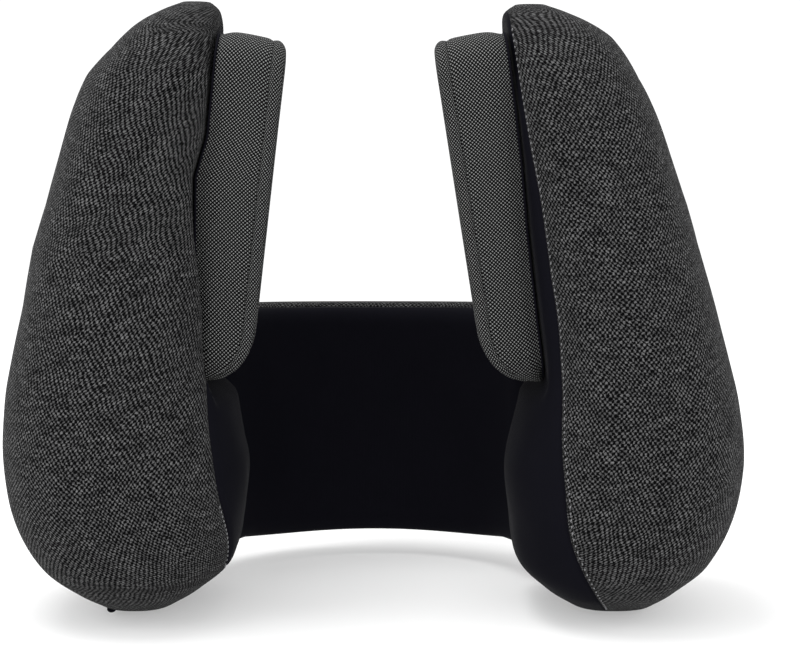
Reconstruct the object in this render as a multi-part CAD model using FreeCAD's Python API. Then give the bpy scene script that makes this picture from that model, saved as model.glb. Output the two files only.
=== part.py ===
import FreeCAD, Part
import math
import os

# A U-shaped head and neck support that straps to a chair.
# +Z is up, the open front faces -Y, and +X is the right wing as seen from the front.
# The origin is the centre of the neck band's arc, level with the feet of the wings.

# Driving dimensions, in millimetres and degrees.
BAND_INNER_RADIUS = 62.0
BAND_THICKNESS = 24.0
BAND_BOTTOM = 10.0
BAND_TOP = 115.0
BAND_HALF_ANGLE = 72.0
BAND_CORNER = 9.0

CLOTH = 1.5             # thickness of the knit and jersey covers
LAYER_GAP = 0.2         # between a cover and the foam inside it
BODY_GAP = 0.4          # between soft parts that turn against each other

OPEN_ANGLE = 30.0       # how far a wing swings outwards
CLOSE_ANGLE = 10.0      # how far it swings inwards

PIN_RADIUS = 2.0
RUNNING_CLEARANCE = 0.08
KNUCKLE_RADIUS = 5.0
KNUCKLE_GAP = 0.6
LEAF_THICKNESS = 2.0
WING_KNUCKLE_BOTTOM = 50.0
WING_KNUCKLE_TOP = 80.0
RIVET_RADIUS = 2.0
RIVET_HEAD_RADIUS = 3.5
RIVET_HEAD_HEIGHT = 1.2
RIVET_SEAT = 0.15       # a flat rivet head stands this far off a hollow face

WING_HEIGHT = 244.5
WING_SQUARENESS = 2.6   # 2 is an ellipse in plan, higher is squarer
PAD_LEAN = 6.0          # the wing's inner face leans towards the head by this
PAD_ROOT_X = 68.8       # foot of the line where the pad meets the wing
PAD_ROOT_Z = 96.0
PAD_LENGTH = 137.0
PAD_THICKNESS = 25.0
PAD_FRONT = -62.0
PAD_BACK = 8.0
PAD_SEAM = 20.5         # how far the gusset reaches from the wing
PAD_SLIDE = 12.0
PATCH_THICKNESS = 1.0

STRAP_BOTTOM = 50.0
STRAP_WIDTH = 25.0
STRAP_THICKNESS = 1.3
STRAP_INNER_RADIUS = 88.0
ZIP_BOTTOM = 24.0
ZIP_TAPE_WIDTH = 18.0
ZIP_HALF_ANGLE = 50.0
BACK_REACH = 96.5       # the buckle's face, as far back as the wings reach forwards

# The wing's plan at each height: height, inner side, outer side, front, back.
WING_STATIONS = [
    (0.0, 85.0, 108.0, -47.0, -14.0),
    (5.0, 79.3, 111.9, -62.0, 4.0),
    (12.0, 68.3, 120.6, -77.0, 15.0),
    (22.0, 57.9, 133.3, -87.0, 24.0),
    (38.0, 55.2, 142.9, -94.0, 29.5),
    (60.0, 53.5, 147.7, -96.5, 31.0),
    (85.0, 60.0, 146.4, -95.5, 31.0),
    (105.0, 63.5, 142.5, -93.5, 30.5),
    (130.0, 61.8, 136.6, -90.0, 29.0),
    (155.0, 59.0, 129.8, -86.0, 27.0),
    (180.0, 56.3, 122.2, -81.5, 24.0),
    (205.0, 54.0, 113.8, -76.0, 19.0),
    (222.0, 53.8, 103.5, -69.5, 12.0),
    (234.0, 55.4, 92.5, -61.0, 3.0),
    (241.0, 58.0, 81.5, -52.0, -6.0),
    (WING_HEIGHT, 62.0, 74.0, -42.0, -16.0),
]

# The seam between the outer knit and the inner jersey, seen from the front: across, up.
SEAM_LINE = [(97.0, -5.0), (88.5, 8.5), (78.0, 26.0), (75.5, 65.0), (76.7, 114.0), (69.9, 166.0), (62.2, 207.0),
             (57.5, 236.0), (57.5, 260.0)]

BAND_OUTER_RADIUS = BAND_INNER_RADIUS + BAND_THICKNESS
BAND_MID_RADIUS = BAND_INNER_RADIUS + BAND_THICKNESS / 2
NOSE_RADIUS = BAND_THICKNESS / 2
HINGE_X = BAND_MID_RADIUS * math.sin(math.radians(BAND_HALF_ANGLE))
HINGE_Y = BAND_MID_RADIUS * math.cos(math.radians(BAND_HALF_ANGLE))
STRAP_TOP = STRAP_BOTTOM + STRAP_WIDTH
STRAP_MIDDLE = STRAP_BOTTOM + STRAP_WIDTH / 2
STRAP_OUTER_RADIUS = STRAP_INNER_RADIUS + STRAP_THICKNESS
UP = FreeCAD.Vector(0, 0, 1)
AXIS_START = FreeCAD.Vector(0, 0, 0)

# In the hinge's own frame X points outwards, Y back along the band and -Y into the wing.
HINGE_FRAME = FreeCAD.Placement(
    FreeCAD.Vector(HINGE_X, HINGE_Y, 0),
    FreeCAD.Rotation(UP, 90.0 - BAND_HALF_ANGLE),
)
# In the pad's own frame X = 0 is its back, -X points at the head and Z runs up the wing.
PAD_FRAME = FreeCAD.Placement(
    FreeCAD.Vector(PAD_ROOT_X, 0, PAD_ROOT_Z),
    FreeCAD.Rotation(FreeCAD.Vector(0, 1, 0), -PAD_LEAN),
)


def point(x, y, z=0.0):
    return FreeCAD.Vector(x, y, z)


def block(x0, x1, y0, y1, z0, z1):
    return Part.makeBox(x1 - x0, y1 - y0, z1 - z0, point(x0, y0, z0))


def rod(radius, z0, z1, x=0.0, y=0.0):
    return Part.makeCylinder(radius, z1 - z0, point(x, y, z0), UP)


def rod_along(radius, start, end):
    """A round bar from one point to another."""
    run = end.sub(start)
    return Part.makeCylinder(radius, run.Length, start, run)


def prism(outline, direction):
    """A flat closed outline pushed along a direction."""
    wire = Part.makePolygon(outline + [outline[0]])
    return Part.Face(wire).extrude(direction)


def placed(shape, frame):
    moved = shape.copy()
    moved.Placement = frame.multiply(moved.Placement)
    return moved


def at_hinge(shape):
    return placed(shape, HINGE_FRAME)


def at_pad(shape):
    return placed(shape, PAD_FRAME)


def joined(shapes):
    whole = shapes[0]
    for shape in shapes[1:]:
        whole = whole.fuse(shape)
    return whole.removeSplitter()


def without(shape, *tools):
    for tool in tools:
        shape = shape.cut(tool)
    return shape


def arc_plate(radius0, radius1, angle0, angle1, z0, z1):
    """A curved plate about the origin: angles are measured from +Y towards +X."""
    wall = rod(radius1, z0, z1).cut(rod(radius0, z0 - 1, z1 + 1))
    reach = 2.5 * radius1
    spread = angle1 - angle0
    edges = [angle0, angle0 + spread / 3, angle0 + spread * 2 / 3, angle1]
    corners = [point(0, 0, z0 - 2)]
    for angle in edges:
        turn = math.radians(angle)
        corners.append(point(reach * math.sin(turn), reach * math.cos(turn), z0 - 2))
    return wall.common(prism(corners, point(0, 0, z1 - z0 + 4)))


def mirrored(shape):
    return shape.mirror(AXIS_START, point(1, 0, 0))


def spread_points(pairs, radius):
    """Radial positions on the band, given as angle from +Y and height."""
    places = []
    for angle, height in pairs:
        turn = math.radians(angle)
        places.append(point(radius * math.sin(turn), radius * math.cos(turn), height))
    return places


# ---- neck band ----

def band_section(inset, radius0, half_width):
    """The band's rounded cross-section, or with half_width its outer half, in the XZ plane."""
    low = BAND_BOTTOM + inset
    high = BAND_TOP - inset
    corner = BAND_CORNER - inset
    outer = radius0 + half_width
    bend = corner * (1 - math.sqrt(0.5))
    edges = [
        Part.LineSegment(point(radius0, 0, low), point(outer - corner, 0, low)),
        Part.Arc(point(outer - corner, 0, low), point(outer - bend, 0, low + bend), point(outer, 0, low + corner)),
        Part.LineSegment(point(outer, 0, low + corner), point(outer, 0, high - corner)),
        Part.Arc(point(outer, 0, high - corner), point(outer - bend, 0, high - bend), point(outer - corner, 0, high)),
        Part.LineSegment(point(outer - corner, 0, high), point(radius0, 0, high)),
    ]
    half = [edge.toShape() for edge in edges]
    return half


def band_block(inset):
    """The whole band with its rounded ends, smaller by inset all round."""
    half_width = BAND_THICKNESS / 2 - inset
    outer_half = band_section(inset, BAND_MID_RADIUS, half_width)
    spine_edge = Part.LineSegment(outer_half[-1].Vertexes[-1].Point, outer_half[0].Vertexes[0].Point).toShape()
    outer_face = Part.Face(Part.Wire(outer_half + [spine_edge]))
    inner_face = outer_face.mirror(point(BAND_MID_RADIUS, 0, 0), point(1, 0, 0))
    start = 90.0 - BAND_HALF_ANGLE
    pieces = []
    for face in (outer_face, inner_face):
        face = face.copy()
        face.rotate(AXIS_START, UP, start)
        pieces.append(face.revolve(AXIS_START, UP, 2 * BAND_HALF_ANGLE))
    nose_edges = band_section(inset, 0.0, half_width)
    nose_axis = Part.LineSegment(nose_edges[-1].Vertexes[-1].Point, nose_edges[0].Vertexes[0].Point).toShape()
    nose_face = Part.Face(Part.Wire(nose_edges + [nose_axis]))
    nose_face.rotate(AXIS_START, UP, 180)
    nose = at_hinge(nose_face.revolve(AXIS_START, UP, 180))
    return joined(pieces + [nose, mirrored(nose)])


def knuckle_room():
    """Space in the band for the hinge knuckles and for the arm that swings from them."""
    room = rod(KNUCKLE_RADIUS + KNUCKLE_GAP, BAND_BOTTOM + 5, BAND_TOP - 3.5)
    slot = block(-20, 20, -20, 1, WING_KNUCKLE_BOTTOM - KNUCKLE_GAP, WING_KNUCKLE_TOP + KNUCKLE_GAP)
    return at_hinge(room.fuse(slot))


SPINE_BOTTOM = BAND_BOTTOM + 8.0
SPINE_TOP = BAND_TOP - 8.0
SPINE_THICKNESS = 2.5
SPINE_HALF_ANGLE = 66.0
LEAF_LENGTH_ANGLE = 24.0
BAND_RIVETS = [(53.0, 36.0), (53.0, 93.0), (61.0, 36.0), (61.0, 93.0)]
LEAF_OUTER_RADIUS = BAND_MID_RADIUS + LEAF_THICKNESS / 2


def band_rivet_shafts(radius, extra):
    shafts = []
    inner = LEAF_OUTER_RADIUS - LEAF_THICKNESS - extra
    outer = LEAF_OUTER_RADIUS + SPINE_THICKNESS + extra
    for start, end in zip(spread_points(BAND_RIVETS, inner), spread_points(BAND_RIVETS, outer)):
        shafts.append(rod_along(radius, start, end))
    return shafts


def band_rivet_set():
    """Four rivets of the right-hand leaf, heads included."""
    rivets = []
    inner = LEAF_OUTER_RADIUS - LEAF_THICKNESS - RIVET_SEAT
    outer = LEAF_OUTER_RADIUS + SPINE_THICKNESS
    rows = zip(
        spread_points(BAND_RIVETS, inner - RIVET_HEAD_HEIGHT),
        spread_points(BAND_RIVETS, inner),
        spread_points(BAND_RIVETS, outer),
        spread_points(BAND_RIVETS, outer + RIVET_HEAD_HEIGHT),
    )
    for inner_head, inner_face, outer_face, outer_head in rows:
        shaft = rod_along(RIVET_RADIUS, inner_head, outer_head)
        heads = [rod_along(RIVET_HEAD_RADIUS, inner_head, inner_face),
                 rod_along(RIVET_HEAD_RADIUS, outer_face, outer_head)]
        rivets.append(joined([shaft] + heads))
    return rivets


def band_spine():
    """The springy plate that keeps the band's curve, with three windows moulded through it."""
    plate = arc_plate(LEAF_OUTER_RADIUS, LEAF_OUTER_RADIUS + SPINE_THICKNESS, -SPINE_HALF_ANGLE, SPINE_HALF_ANGLE,
                      SPINE_BOTTOM, SPINE_TOP)
    holes = band_rivet_shafts(RIVET_RADIUS, 1)
    holes = holes + [mirrored(hole) for hole in holes]
    for middle in (-26.0, 0.0, 26.0):
        holes.append(arc_plate(LEAF_OUTER_RADIUS - 2, LEAF_OUTER_RADIUS + SPINE_THICKNESS + 2,
                               middle - 8, middle + 8, SPINE_BOTTOM + 22, SPINE_TOP - 22))
    return without(plate, *holes)


def band_leaf():
    """The steel hinge leaf in the band's right end: a curved plate and two knuckles."""
    plate = arc_plate(LEAF_OUTER_RADIUS - LEAF_THICKNESS, LEAF_OUTER_RADIUS, BAND_HALF_ANGLE - LEAF_LENGTH_ANGLE,
                      BAND_HALF_ANGLE, SPINE_BOTTOM, SPINE_TOP)
    gap = at_hinge(block(-20, 20, -20, KNUCKLE_RADIUS + 2, WING_KNUCKLE_BOTTOM, WING_KNUCKLE_TOP))
    lower = at_hinge(rod(KNUCKLE_RADIUS, SPINE_BOTTOM, WING_KNUCKLE_BOTTOM))
    upper = at_hinge(rod(KNUCKLE_RADIUS, WING_KNUCKLE_TOP, SPINE_TOP))
    leaf = joined([plate.cut(gap), lower, upper])
    bore = at_hinge(rod(PIN_RADIUS, 0, BAND_TOP))
    return without(leaf, bore, *band_rivet_shafts(RIVET_RADIUS, 1))


def hinge_pin():
    shaft = rod(PIN_RADIUS, SPINE_BOTTOM, SPINE_TOP)
    foot = rod(PIN_RADIUS + 1.2, SPINE_BOTTOM - 1.5, SPINE_BOTTOM)
    head = rod(PIN_RADIUS + 1.2, SPINE_TOP, SPINE_TOP + 1.5)
    return at_hinge(joined([shaft, foot, head]))


def band_covers():
    """The band's cloth, in two halves: jersey towards the neck and knit behind."""
    sleeve = band_block(0.0).cut(band_block(CLOTH))
    sleeve = without(sleeve, knuckle_room(), mirrored(knuckle_room()))
    divide = rod(BAND_MID_RADIUS, 0, BAND_TOP + 20)
    return sleeve.common(divide), sleeve.cut(divide)


def band_foam(hardware):
    foam = band_block(CLOTH + LAYER_GAP)
    return without(foam, knuckle_room(), mirrored(knuckle_room()), *hardware)


# ---- wings (the right one, mirrored for the left) ----

def plan_curve(station, inset):
    """A closed, slightly squared oval at one height of the wing."""
    height, inner, outer, front, back = station
    half_x = (outer - inner) / 2 - inset
    half_y = (back - front) / 2 - inset
    middle_x = (outer + inner) / 2
    middle_y = (front + back) / 2
    level = inset + height * (WING_HEIGHT - 2 * inset) / WING_HEIGHT
    count = 16
    points = []
    for step in range(count):
        turn = 2 * math.pi * step / count
        along = math.copysign(abs(math.cos(turn)) ** (2 / WING_SQUARENESS), math.cos(turn))
        across = math.copysign(abs(math.sin(turn)) ** (2 / WING_SQUARENESS), math.sin(turn))
        points.append(point(middle_x + half_x * along, middle_y + half_y * across, level))
    curve = Part.BSplineCurve()
    curve.interpolate(Points=points, PeriodicFlag=True, Parameters=[step / count for step in range(count + 1)])
    return Part.Wire([curve.toShape()])


def socket(radius):
    """What the wing leaves clear for the band's rounded end, at every angle of the hinge."""
    top = BAND_TOP + 3.0 + radius - NOSE_RADIUS
    open_line = -OPEN_ANGLE - 2.0
    close_line = CLOSE_ANGLE + 22.0
    far = 160.0
    corners = [point(0, 0, -5)]
    for line, side in ((open_line, -90.0), (close_line, 90.0)):
        ahead = math.radians(90.0 + line)
        edge = math.radians(90.0 + line + side)
        start = point(radius * math.cos(edge), radius * math.sin(edge), -5)
        end = point(start.x + far * math.cos(ahead), start.y + far * math.sin(ahead), -5)
        corners.extend([start, end] if side < 0 else [end, start])
    wedge = prism(corners, point(0, 0, top + 5))
    return at_hinge(wedge.fuse(rod(radius, -5, top)))


def pad_seat(inset):
    """The flat face and ledge that the wing leaves for its pad, all the way up."""
    depth = 2 * PATCH_THICKNESS + 0.4 + inset
    return at_pad(block(-120, depth, -140, 80, -0.8 - inset, 240))


def wing_block(inset):
    sections = [plan_curve(station, inset) for station in WING_STATIONS]
    body = Part.makeLoft(sections, True, False)
    body = without(body, socket(NOSE_RADIUS + BODY_GAP + inset), pad_seat(inset))
    return body.removeSplitter()


def seam_side():
    """Everything on the head's side of the seam between jersey and knit."""
    outline = [point(x, -200, z) for x, z in SEAM_LINE]
    outline += [point(-20, -200, 260), point(-20, -200, -5)]
    return prism(outline, point(0, 400, 0))


WING_RIVETS = [(-24.0, 57.0), (-24.0, 73.0), (-38.0, 57.0), (-38.0, 73.0)]
WING_PLATE_THICKNESS = 3.0
# The stiffener's outline in the hinge frame: along the wing, up.
WING_PLATE_OUTLINE = [(-17.0, 26.0), (-17.0, 120.0), (-32.0, 184.0), (-50.0, 212.0), (-68.0, 198.0), (-88.0, 140.0),
                      (-98.0, 66.0), (-84.0, 22.0), (-50.0, 16.0)]


def wing_plate():
    """The plastic stiffener in the wing's foam."""
    half = LEAF_THICKNESS / 2
    points = [point(half, y, z) for y, z in WING_PLATE_OUTLINE]
    curve = Part.BSplineCurve()
    curve.interpolate(Points=points, PeriodicFlag=True)
    plate = Part.Face(Part.Wire([curve.toShape()])).extrude(point(WING_PLATE_THICKNESS, 0, 0))
    return at_hinge(without(plate, *wing_rivet_shafts()))


def wing_rivet_shafts():
    return [rod_along(RIVET_RADIUS, point(-6, y, z), point(12, y, z)) for y, z in WING_RIVETS]


def wing_leaf():
    """The steel leaf that joins the wing's stiffener to the hinge pin."""
    low = WING_KNUCKLE_BOTTOM + KNUCKLE_GAP
    high = WING_KNUCKLE_TOP - KNUCKLE_GAP
    half = LEAF_THICKNESS / 2
    plate = block(-half, half, -44, 0, low, high)
    leaf = joined([plate, rod(KNUCKLE_RADIUS, low, high)])
    return at_hinge(without(leaf, rod(PIN_RADIUS + RUNNING_CLEARANCE, 0, BAND_TOP), *wing_rivet_shafts()))


def wing_rivets():
    half = LEAF_THICKNESS / 2
    far = half + WING_PLATE_THICKNESS
    rivets = []
    for y, z in WING_RIVETS:
        shaft = rod_along(RIVET_RADIUS, point(-half - RIVET_HEAD_HEIGHT, y, z), point(far + RIVET_HEAD_HEIGHT, y, z))
        inner = rod_along(RIVET_HEAD_RADIUS, point(-half - RIVET_HEAD_HEIGHT, y, z), point(-half, y, z))
        outer = rod_along(RIVET_HEAD_RADIUS, point(far, y, z), point(far + RIVET_HEAD_HEIGHT, y, z))
        rivets.append(at_hinge(joined([shaft, inner, outer])))
    return rivets


# ---- pads (the right one, mirrored for the left) ----

def pad_outline(inset):
    """The pad seen from the front, in its own frame: its head-side corners are rounded."""
    low = inset
    high = PAD_LENGTH - inset
    face = -PAD_THICKNESS + inset
    back = -inset
    bottom_round = 16.0 - inset
    top_round = 7.0 - inset
    lower_bend = bottom_round * (1 - math.sqrt(0.5))
    upper_bend = top_round * (1 - math.sqrt(0.5))
    edges = [
        Part.LineSegment(point(back, 0, low), point(face + bottom_round, 0, low)),
        Part.Arc(point(face + bottom_round, 0, low), point(face + lower_bend, 0, low + lower_bend),
                 point(face, 0, low + bottom_round)),
        Part.LineSegment(point(face, 0, low + bottom_round), point(face, 0, high - top_round)),
        Part.Arc(point(face, 0, high - top_round), point(face + upper_bend, 0, high - upper_bend),
                 point(face + top_round, 0, high)),
        Part.LineSegment(point(face + top_round, 0, high), point(back, 0, high)),
        Part.LineSegment(point(back, 0, high), point(back, 0, low)),
    ]
    return Part.Face(Part.Wire([edge.toShape() for edge in edges]))


def pad_block(inset, shrink_back=True):
    """The whole pad: the front outline crossed with a rounded rectangle seen from the head."""
    width = PAD_BACK - PAD_FRONT
    front_view = pad_outline(inset)
    front_view.translate(point(0, PAD_FRONT + inset, 0))
    slab = front_view.extrude(point(0, width - 2 * inset, 0))
    side_view = Part.makeBox(80, width - 2 * inset, PAD_LENGTH - 2 * inset, point(-60, PAD_FRONT + inset, inset))
    corners = [edge for edge in side_view.Edges if abs(edge.tangentAt(edge.FirstParameter).x) > 0.99]
    side_view = side_view.makeFillet(14.0 - inset, corners)
    return slab.common(side_view)


def pad_zone(x0, x1):
    return block(x0, x1, -150, 100, -20, 200)


def pad_parts():
    """Board, foam, three cloth panels, piping and hook patch, in that order."""
    skin = pad_block(0.0).cut(pad_block(CLOTH))
    core = pad_block(CLOTH + LAYER_GAP)
    board_front = -CLOTH - LAYER_GAP - 3.0
    board = core.common(pad_zone(board_front, 0))
    foam = core.common(pad_zone(-60, board_front))
    face = skin.common(pad_zone(-60, -PAD_SEAM))
    gusset = skin.common(pad_zone(-PAD_SEAM, -CLOTH))
    back = skin.common(pad_zone(-CLOTH, 1))
    piping = pad_block(-0.9).common(pad_zone(-PAD_SEAM - 0.9, -PAD_SEAM + 0.9)).cut(pad_block(0.0))
    hook = block(0, PATCH_THICKNESS, PAD_FRONT + 12, PAD_BACK - 12, 22, PAD_LENGTH - 30)
    return [at_pad(piece) for piece in (board, foam, face, gusset, back, piping, hook)]


def loop_patch():
    """The fuzzy patch on the wing that the pad's hook patch grips, longer by the pad's slide."""
    near = PATCH_THICKNESS + 0.4
    return at_pad(block(near, near + PATCH_THICKNESS, PAD_FRONT + 10, PAD_BACK - 10, 20, PAD_LENGTH - 28 + PAD_SLIDE))


# ---- chair strap and cover zip, on the back of the band ----

SURFACE = BAND_OUTER_RADIUS + 0.1
ANCHOR_ANGLE = 45.0


def strap_anchor():
    """A folded webbing tab sewn flat to the band."""
    return arc_plate(SURFACE, STRAP_INNER_RADIUS - 0.1, ANCHOR_ANGLE - 5, ANCHOR_ANGLE + 5,
                     STRAP_BOTTOM - 1.5, STRAP_TOP + 1.5)


def strap_half():
    """The elastic strap from the right-hand tab into the buckle."""
    return arc_plate(STRAP_INNER_RADIUS, STRAP_OUTER_RADIUS, 9.0, ANCHOR_ANGLE + 4, STRAP_BOTTOM, STRAP_TOP)


BUCKLE_FRONT = BAND_OUTER_RADIUS + 1.0
SOCKET_END = 6.0
BUCKLE_HALF_LENGTH = 21.0
BUCKLE_HALF_HEIGHT = 17.0


def buckle_blank(x0, x1, squeeze):
    """A buckle half's outer block with rounded long edges."""
    body = block(x0, x1, BUCKLE_FRONT + squeeze, BACK_REACH - squeeze,
                 STRAP_MIDDLE - BUCKLE_HALF_HEIGHT + squeeze, STRAP_MIDDLE + BUCKLE_HALF_HEIGHT - squeeze)
    long_edges = [edge for edge in body.Edges if abs(edge.tangentAt(edge.FirstParameter).x) > 0.99]
    return body.makeFillet(2.5, long_edges)


def buckle_socket(strap):
    """The buckle's hollow half, with a window each side for the plug's arms."""
    body = buckle_blank(-BUCKLE_HALF_LENGTH, SOCKET_END, 0.0)
    hollow = block(-12, 30, BUCKLE_FRONT + 2, BACK_REACH - 2, STRAP_MIDDLE - 14, STRAP_MIDDLE + 14)
    windows = block(-9, -1, BUCKLE_FRONT + 2, BACK_REACH - 2, 0, BAND_TOP)
    strap_slot = arc_plate(STRAP_INNER_RADIUS - 0.3, STRAP_OUTER_RADIUS + 0.3, -60, -8,
                           STRAP_BOTTOM - 0.3, STRAP_TOP + 0.3)
    return without(body, hollow, windows, strap_slot, strap)


def buckle_plug():
    """The buckle's sliding half: a base, a middle guide and two springy arms."""
    base = buckle_blank(SOCKET_END + 0.4, BUCKLE_HALF_LENGTH, 0.5)
    pieces = [base]
    for low, high in ((-13.0, -8.0), (-2.0, 2.0), (8.0, 13.0)):
        pieces.append(block(-9, SOCKET_END + 2, BUCKLE_FRONT + 2.5, BACK_REACH - 2.5,
                            STRAP_MIDDLE + low, STRAP_MIDDLE + high))
    strap_slot = arc_plate(STRAP_INNER_RADIUS - 0.4, STRAP_OUTER_RADIUS + 0.4, 8.5, 60,
                           STRAP_BOTTOM - 0.4, STRAP_TOP + 0.4)
    return joined(pieces).cut(strap_slot)


ADJUSTER_ANGLE = -28.0


def strap_adjuster():
    """The three-bar slide that shortens the strap."""
    frame = arc_plate(SURFACE + 0.3, STRAP_OUTER_RADIUS + 1.9, ADJUSTER_ANGLE - 5, ADJUSTER_ANGLE + 5,
                      STRAP_BOTTOM - 3.5, STRAP_TOP + 3.5)
    tunnel = arc_plate(STRAP_INNER_RADIUS - 0.35, STRAP_OUTER_RADIUS + 0.35, -60, 0,
                       STRAP_BOTTOM - 0.4, STRAP_TOP + 0.4)
    windows = [arc_plate(SURFACE - 1, STRAP_OUTER_RADIUS + 5, ADJUSTER_ANGLE + start, ADJUSTER_ANGLE + start + 2.4,
                         STRAP_BOTTOM - 0.4, STRAP_TOP + 0.4) for start in (-3.4, 1.0)]
    return without(frame, tunnel, *windows)


ZIP_CLOSED_ANGLE = 44.0      # where the slider stops when the cover is shut
ZIP_MIDDLE = ZIP_BOTTOM + ZIP_TAPE_WIDTH / 2
COIL_HALF_WIDTH = 2.0
COIL_OUTER_RADIUS = SURFACE + 2.2
BAIL_Y = COIL_OUTER_RADIUS + 4.2
BAIL_Z = ZIP_MIDDLE


def zip_coil():
    return arc_plate(SURFACE + 0.8, COIL_OUTER_RADIUS, -ZIP_HALF_ANGLE + 1, ZIP_HALF_ANGLE - 1,
                     ZIP_MIDDLE - COIL_HALF_WIDTH, ZIP_MIDDLE + COIL_HALF_WIDTH)


def at_closed_end(shape):
    return placed(shape, FreeCAD.Placement(AXIS_START, FreeCAD.Rotation(UP, -ZIP_CLOSED_ANGLE)))


def zip_stop():
    return arc_plate(SURFACE + 0.8, COIL_OUTER_RADIUS + 0.4, ZIP_HALF_ANGLE - 0.9, ZIP_HALF_ANGLE + 0.4,
                     ZIP_MIDDLE - COIL_HALF_WIDTH - 0.8, ZIP_MIDDLE + COIL_HALF_WIDTH + 0.8)


def zip_slider():
    """The zip's slider: a roof over the coil, two side flanges and a bail for the pull."""
    roof = arc_plate(COIL_OUTER_RADIUS + 0.3, COIL_OUTER_RADIUS + 1.8, -3.2, 3.2, ZIP_MIDDLE - 5, ZIP_MIDDLE + 5)
    flanges = [arc_plate(SURFACE + 1.1, COIL_OUTER_RADIUS + 1.8, -3.2, 3.2, low, low + 2.4)
               for low in (ZIP_MIDDLE - 5, ZIP_MIDDLE + 2.6)]
    posts = [block(x - 0.7, x + 0.7, COIL_OUTER_RADIUS + 1.0, BAIL_Y + 0.8, BAIL_Z - 0.8, BAIL_Z + 0.8)
             for x in (-3.4, 3.4)]
    bar = rod_along(0.8, point(-4.1, BAIL_Y, BAIL_Z), point(4.1, BAIL_Y, BAIL_Z))
    return at_closed_end(joined([roof] + flanges + posts + [bar]))


def zip_pull():
    """The pull tab: an eye round the bail and a flat tongue with a finger hole."""
    eye = rod_along(1.9, point(-2.2, BAIL_Y, BAIL_Z), point(2.2, BAIL_Y, BAIL_Z))
    tongue = block(-3.0, 3.0, BAIL_Y - 0.6, BAIL_Y + 0.6, BAIL_Z - 20, BAIL_Z - 3)
    neck = block(-2.2, 2.2, BAIL_Y - 0.6, BAIL_Y + 0.6, BAIL_Z - 4, BAIL_Z - 1)
    bore = rod_along(0.8 + RUNNING_CLEARANCE, point(-5, BAIL_Y, BAIL_Z), point(5, BAIL_Y, BAIL_Z))
    hole = rod_along(1.4, point(0, BAIL_Y - 5, BAIL_Z - 16), point(0, BAIL_Y + 5, BAIL_Z - 16))
    return at_closed_end(without(joined([eye, tongue, neck]), bore, hole))


def save(name, shapes):
    """Writes one node: a single solid, or a group of separate ones."""
    solids = []
    for shape in shapes:
        solids.extend(shape.Solids)
    whole = solids[0] if len(solids) == 1 else Part.makeCompound(solids)
    whole.exportStep("parts/%s.step" % name)
    bounds = whole.BoundBox
    print("%-24s %2d solid(s) %9.0f mm3  x %6.1f %6.1f  y %6.1f %6.1f  z %6.1f %6.1f %s" % (
        name, len(solids), whole.Volume, bounds.XMin, bounds.XMax, bounds.YMin, bounds.YMax,
        bounds.ZMin, bounds.ZMax, "" if whole.isValid() else "INVALID"))


def save_pair(name, shapes):
    """Writes the right-hand piece and its mirror image."""
    save(name + "_right", shapes)
    save(name + "_left", [mirrored(shape) for shape in shapes])


def main():
    os.makedirs("parts", exist_ok=True)

    spine = band_spine()
    leaf = band_leaf()
    rivets = band_rivet_set()
    hardware = [spine, leaf, mirrored(leaf)] + rivets + [mirrored(rivet) for rivet in rivets]
    front_cover, back_cover = band_covers()
    save("band_spine", [spine])
    save_pair("band_hinge_leaf", [leaf])
    save_pair("hinge_pin", [hinge_pin()])
    save("band_rivets", rivets + [mirrored(rivet) for rivet in rivets])
    save("band_foam", [band_foam(hardware)])
    save("band_jersey_cover", [front_cover])
    save("band_knit_cover", [back_cover])

    strap = strap_half()
    save_pair("strap_anchor", [strap_anchor()])
    save_pair("strap", [strap])
    save("buckle_socket", [buckle_socket(mirrored(strap))])
    save("buckle_plug", [buckle_plug()])
    save("strap_adjuster", [strap_adjuster()])
    save("zip_tape", [arc_plate(SURFACE, SURFACE + 0.8, -ZIP_HALF_ANGLE, ZIP_HALF_ANGLE,
                                ZIP_BOTTOM, ZIP_BOTTOM + ZIP_TAPE_WIDTH)])
    save("zip_coil", [zip_coil()])
    save("zip_stops", [zip_stop(), mirrored(zip_stop())])
    save("zip_slider", [zip_slider()])
    save("zip_pull", [zip_pull()])

    plate = wing_plate()
    arm = wing_leaf()
    studs = wing_rivets()
    skin = wing_block(0.0).cut(wing_block(CLOTH))
    skin = skin.cut(arm)
    jersey_side = seam_side()
    filling = without(wing_block(CLOTH + LAYER_GAP), plate, arm, *studs)
    save_pair("wing_plate", [plate])
    save_pair("wing_hinge_leaf", [arm])
    save_pair("wing_rivets", studs)
    save_pair("wing_foam", [filling])
    save_pair("wing_knit_cover", [skin.cut(jersey_side)])
    save_pair("wing_jersey_cover", [skin.common(jersey_side)])
    save_pair("wing_loop_patch", [loop_patch()])

    names = ("pad_board", "pad_foam", "pad_face", "pad_gusset", "pad_back", "pad_piping", "pad_hook_patch")
    for name, piece in zip(names, pad_parts()):
        save_pair(name, [piece])


main()
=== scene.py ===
# %% [markdown]
# # A chair headrest attachment
# Two big soft wings stand either side of the head, and a band behind the neck joins them. Each wing carries a
# boxed pad that the head leans on. This lesson dresses the plain engineering model in its real cloth: a
# heather grey knit outside, black jersey towards the neck, and a dark basket weave on the pads.

# %% Load the engineering model
import math

import bmesh
import bpy
import numpy as np
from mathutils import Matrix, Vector, noise


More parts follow.
